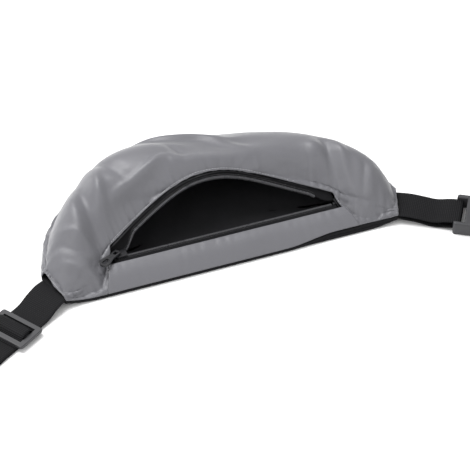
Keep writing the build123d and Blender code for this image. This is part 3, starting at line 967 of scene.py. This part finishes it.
# The lower half lies straight along the strip.
lower_x = np.linspace(-zip_half, zip_half, 160)
lower_line = np.stack([lower_x, zip_line_y + 0 * lower_x, coil_level + 0 * lower_x], -1)
lower_side = np.tile([0.0, -1.0, 0.0], (len(lower_line), 1))
between_stops = np.abs(lower_x) < coil_end - 0.3
tape("zip_tape_lower_cloth", lower_line + [0, -0.6, 0], lower_line + [0, -8.6, -0.5], "zip_tape_lower")
coil("zip_coil_lower_teeth", lower_line[between_stops], lower_side[between_stops], "zip_coil_lower")

# The upper half follows the lip of the front.
upper_x, upper_line, upper_edge, upper_inward = upper_zip_line()
upper_side = unit(upper_edge - upper_line)
upper_tuck = upper_edge + upper_inward * 2.5 - lip_face * 1.3
past_slider = (upper_x > slider_x + slider_room_left) & (upper_x < coil_end - slider_room_right)
tape("zip_tape_upper_cloth", upper_line + upper_side * 0.6, upper_tuck, "zip_tape_upper")
coil("zip_coil_upper_teeth", upper_line[past_slider], upper_side[past_slider], "zip_coil_upper")

tape_thread = Batch()
upper_thread_line = upper_line + upper_side * 2.6 + lip_face * 0.45
for thread_line in (lower_line[between_stops] + [0, -2.6, 0.4], upper_thread_line[past_slider]):
    tape_thread.stitches(thread_line, pitch=2.2, share=0.85, radius=0.16)
tape_thread.finish("zip_tape_thread", BLACK_THREAD, "zip_tape")


# ================= webbing =================
def rounded(points, trims):
    """A smooth line through a side view's runs, each corner cut back by its trim."""
    longest_trim = 0.48
    spacing = 1.2
    points = np.asarray(points, float)
    line = [points[0]]
    for k in range(1, len(points) - 1):
        here = points[k]
        back, on = points[k - 1] - here, points[k + 1] - here
        trim = min(trims[k - 1], longest_trim * np.linalg.norm(back), longest_trim * np.linalg.norm(on))
        start = here + unit(back) * trim
        finish = here + unit(on) * trim
        for share in np.linspace(0, 1, 7):
            line.append(start * (1 - share) ** 2 + here * 2 * share * (1 - share) + finish * share**2)
    line.append(points[-1])
    line = np.array(line)
    run = distance_along(line)
    at = np.linspace(0, run[-1], max(8, int(run[-1] / spacing)))
    return sampled(at, run, line), at


def belt_heading(side, degrees):
    """The level direction of a strap, turned from square to its wing's end."""
    angle = math.atan2(half_near - half_far, side * wing_end_depth) - side * math.radians(degrees)
    return np.array([math.cos(angle), math.sin(angle), 0])


left_heading = belt_heading(-1, 14)
right_heading = belt_heading(1, 13)
wing_middle = (half_near + half_far) / 2


def belt_places(side, s, t, z):
    """Points of a belt end, s outwards from the wing, t across it and z up."""
    heading = left_heading if side < 0 else right_heading
    across = np.array([-heading[1], heading[0], 0])
    wing = np.array([side * wing_middle, wing_end_depth / 2, 0])
    s, t, z = np.broadcast_arrays(s, t, z)
    return wing + s[..., None] * heading + t[..., None] * across + z[..., None] * np.array([0, 0, 1])


def left_belt_point(s, z):
    """A place on the middle of the left belt end, in metres."""
    return tuple(belt_places(-1, s, 0.0, z) * MM)


def webbing(name, side, points, trims, body, replaced, seed, narrow=0.0):
    """A strip of webbing swept along its side view, with rolled selvedges and slightly uneven edges."""
    line, along = rounded(points, trims)
    ahead = unit(np.gradient(line, axis=0))
    normal = np.stack([-ahead[:, 1], ahead[:, 0]], -1)
    across = np.linspace(-1, 1, 17)
    thick = 0.5 * web_thickness * (1 - 0.55 * np.abs(across) ** 16)
    ring_t = np.concatenate([across, across[::-1]]) * (web_half - narrow)
    ring_n = np.concatenate([thick, -thick[::-1]])
    uneven = 0.18 * np.sin(along / 7 + seed) + 0.1 * np.sin(along / 2.3 + 2 * seed)
    s = line[:, :1] + normal[:, :1] * ring_n
    z = line[:, 1:] + normal[:, 1:] * ring_n
    t = ring_t + uneven[:, None] * np.abs(ring_t) / web_half
    grid = belt_places(side, s, t, z)
    faces = capped_faces(*grid.shape[:2])
    values = np.stack([along[:, None] + 0 * t, t, 0 * t], -1).reshape(-1, 3)
    piece = add_object(name, grid.reshape(-1, 3), faces, WEBBING, body, "strap", values)
    if replaced:
        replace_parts(piece, replaced)
    return piece


def middle_height(node):
    """The height of the middle of a CAD node."""
    low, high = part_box(node)
    return (low.z + high.z) / 2 / MM


# Heights of the belt where it leaves a wing, and of its two layers beyond.
wing_level = curl(wing_middle) + 4.7
low_level = 0.9
high_level = 2.6

# The long belt end: places along it, outwards from the left wing.
adjuster_bar = 52.5
loop_end = 76
fold_start = 308
plug_at = 330

# The bars that the webbing is folded round: the adjuster's is square, the buckle's are round.
adjuster_bar_half = 3.25
bar_radius = 1.8
wrap = bar_radius + 1.0
fold_reach = 2 * bar_radius + 1

long_upper = webbing(
    "strap_upper_web", -1,
    [(-6, wing_level - 3.4), (3, wing_level - 2.4), (13, wing_level - 3.2), (27, high_level),
     (fold_start, high_level)],
    [4, 6, 16], None, "strap_upper_layer", 3,
)
long_lower = webbing(
    "strap_lower_web", -1, [(loop_end, low_level), (fold_start, low_level)], [],
    "belt_end", "strap_lower_layer", 5,
)

bar_near = adjuster_bar - adjuster_bar_half
bar_far = adjuster_bar + adjuster_bar_half
loop_top = 7.4
webbing(
    "adjuster_loop_web", -1,
    [(loop_end, low_level), (61, low_level), (bar_far, high_level), (bar_near, high_level),
     (bar_near, loop_top), (bar_far, loop_top), (bar_far, loop_top - 3)],
    [2, 2, 1.6, 1.6, 1.6], "adjuster", "adjuster_loop", 8, narrow=0.2,
)
hump_top = 9.1
webbing(
    "strap_over_bar", -1,
    [(38.5, 3.0), (44.5, 3.4), (48.0, hump_top), (56.8, hump_top), (60.0, 3.4), (67.5, 3.0)],
    [3, 2.4, 2.4, 3], "adjuster", None, 9,
)

over = middle_height("plug_base") + wrap
under = middle_height("plug_base") - wrap
beyond = plug_at + fold_reach
webbing(
    "strap_fold_web", -1,
    [(fold_start, high_level), (fold_start + 6, high_level), (plug_at - 4, over), (beyond, over),
     (beyond, under), (plug_at - 6, under), (fold_start + 7, low_level), (fold_start, low_level)],
    [6, 6, 2.6, 2.6, 8, 8], "belt_end", "strap_fold", 11,
)

# The short belt end, doubled round the socket's bar.
short_start = 4.6
short_end = 52
over = middle_height("socket") + wrap
under = middle_height("socket") - wrap
beyond = short_end + fold_reach
webbing(
    "short_strap_web", 1,
    [(short_start - 9, wing_level - 3), (short_start, wing_level - 2), (short_start + 13, wing_level - 2.2),
     (short_start + 29, over - 3), (short_end - 5, over), (beyond, over), (beyond, under),
     (short_end - 6, under - 0.5), (short_start + 29, low_level + 0.2), (short_start + 13, wing_level - 6),
     (short_start - 6, wing_level - 4.7)],
    [6, 10, 12, 8, 2.6, 2.6, 12, 12, 12], "pack", "short_strap", 13,
)

# On the real belt the upper layer stretches as the plug moves out and the lower one closes up as the
# adjuster follows it; here the upper layer's transform is baked into its mesh and the lower one gets a mesh
# of its own.
left_belt_point(80.0, high_level)
left_belt_point(300.0, high_level)
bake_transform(long_upper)
left_belt_point(fold_start, low_level)
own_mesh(long_lower)


# ================= hardware =================
def dress(nodes, material, width):
    """Gives CAD nodes their material and softened edges."""
    for node in nodes:
        piece = bpy.data.objects[node]
        for slot in piece.material_slots:
            slot.material = material
        modify(piece, "BEVEL", width=width * MM, segments=3, limit_method="ANGLE", angle_limit=0.6)
        modify(piece, "WEIGHTED_NORMAL")


dress(["adjuster", "plug_base", "socket"], PLASTIC, 0.5)
dress(["prong_near", "prong_far"], PLASTIC, 0.4)
dress(["zip_slider", "zip_pull_tab", "zip_bottom_stop", "zip_top_stop_lower"], ENAMEL, 0.2)
